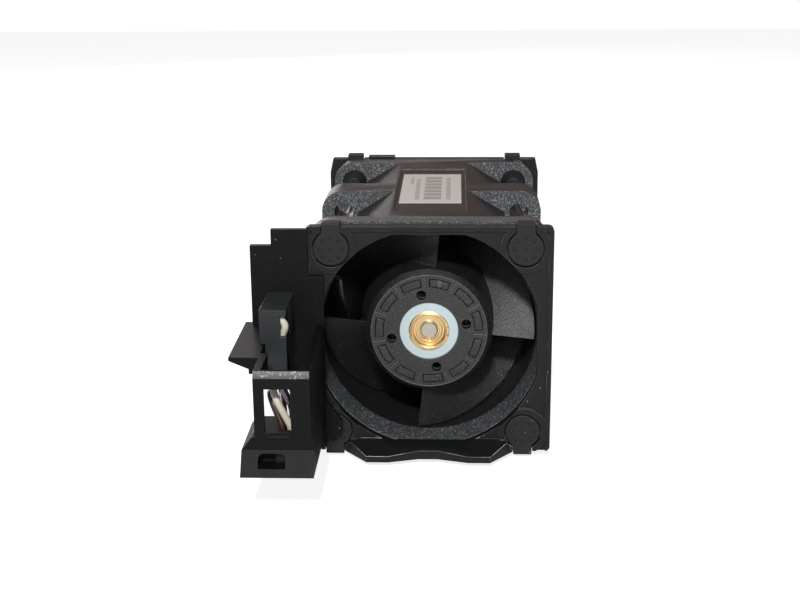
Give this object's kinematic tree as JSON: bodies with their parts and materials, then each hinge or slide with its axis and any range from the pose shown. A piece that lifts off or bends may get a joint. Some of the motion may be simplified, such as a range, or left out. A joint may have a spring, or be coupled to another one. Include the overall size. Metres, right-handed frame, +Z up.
{
  "type": "server fan module",
  "caption": "Dual counter-rotating axial fan module for a server: square housing in rubber-mounted end frames, with a side tower that holds a blind-mate plug.",
  "frame": {"origin": "on the fan's axis, in the front plane of the front frame, at the centre of the air inlet", "axes": "+Y along the airflow and both shafts, from inlet to outlet; +Z up; +X to the right seen from the inlet, so the connector tower is on the -X side"},
  "size_m": [0.0518, 0.0895, 0.0418],
  "materials": {
    "housing_plastic": "satin, spark-eroded",
    "frame_plastic": "fine matt",
    "bracket_plastic": "fine matt",
    "impeller_plastic": "satin",
    "isolator_rubber": "matt",
    "zinc_steel": "bright zinc",
    "shaft_steel": "ground",
    "ferrite": "matt",
    "bush_brass": "turned",
    "bearing_steel": "ground",
    "laminations": "stamped",
    "former_nylon": "moulded",
    "copper_wire": "enamelled",
    "circuit_laminate": "solder mask",
    "label_paper": "paper",
    "putty": "dull",
    "plug_nylon": "moulded",
    "contact_tin": "tinned",
    "clip_plastic": "matt",
    "lead_black": "PVC",
    "lead_grey": "PVC",
    "lead_blue": "PVC",
    "lead_red": "PVC",
    "lead_white": "PVC",
    "lead_brown": "PVC"
  },
  "bodies": {
    "module": {"black_lead": "lead_black", "blue_lead": "lead_blue", "brown_lead": "lead_brown", "cable_clip": "clip_plastic", "connector_bracket": "bracket_plastic", "fan_label": "label_paper", "front_frame": "frame_plastic", "front_isolators": "isolator_rubber", "grey_lead": "lead_grey", "inlet_bearing_tube": "bush_brass", "inlet_bearings": "bearing_steel", "inlet_circuit_board": "circuit_laminate", "inlet_coil_formers": "former_nylon", "inlet_fan_housing": "housing_plastic", "inlet_preload_washer": "shaft_steel", "inlet_stator_coils": "copper_wire", "inlet_stator_core": "laminations", "outlet_bearing_tube": "bush_brass", "outlet_bearings": "bearing_steel", "outlet_circuit_board": "circuit_laminate", "outlet_coil_formers": "former_nylon", "outlet_fan_housing": "housing_plastic", "outlet_preload_washer": "shaft_steel", "outlet_stator_coils": "copper_wire", "outlet_stator_core": "laminations", "plug_contacts": "contact_tin", "plug_housing": "plug_nylon", "rear_frame": "frame_plastic", "rear_isolators": "isolator_rubber", "red_lead": "lead_red", "white_lead": "lead_white"},
    "inlet_rotor": {"balance_putty": "putty", "inlet_impeller": "impeller_plastic", "inlet_rotor_bush": "bush_brass", "inlet_rotor_magnet": "ferrite", "inlet_rotor_yoke": "zinc_steel", "inlet_shaft": "shaft_steel", "inlet_shaft_clip": "shaft_steel"},
    "outlet_rotor": {"outlet_impeller": "impeller_plastic", "outlet_rotor_bush": "bush_brass", "outlet_rotor_magnet": "ferrite", "outlet_rotor_yoke": "zinc_steel", "outlet_shaft": "shaft_steel", "outlet_shaft_clip": "shaft_steel"}
  },
  "joints": [
    {"name": "inlet_rotor_spin", "type": "hinge", "parent": "module", "child": "inlet_rotor", "pos_m": [0, 0.0145, 0], "axis": [0, -1, 0], "continuous": true},
    {"name": "outlet_rotor_spin", "type": "hinge", "parent": "module", "child": "outlet_rotor", "pos_m": [0, 0.0471, 0], "axis": [0, 1, 0], "continuous": true}
  ]
}
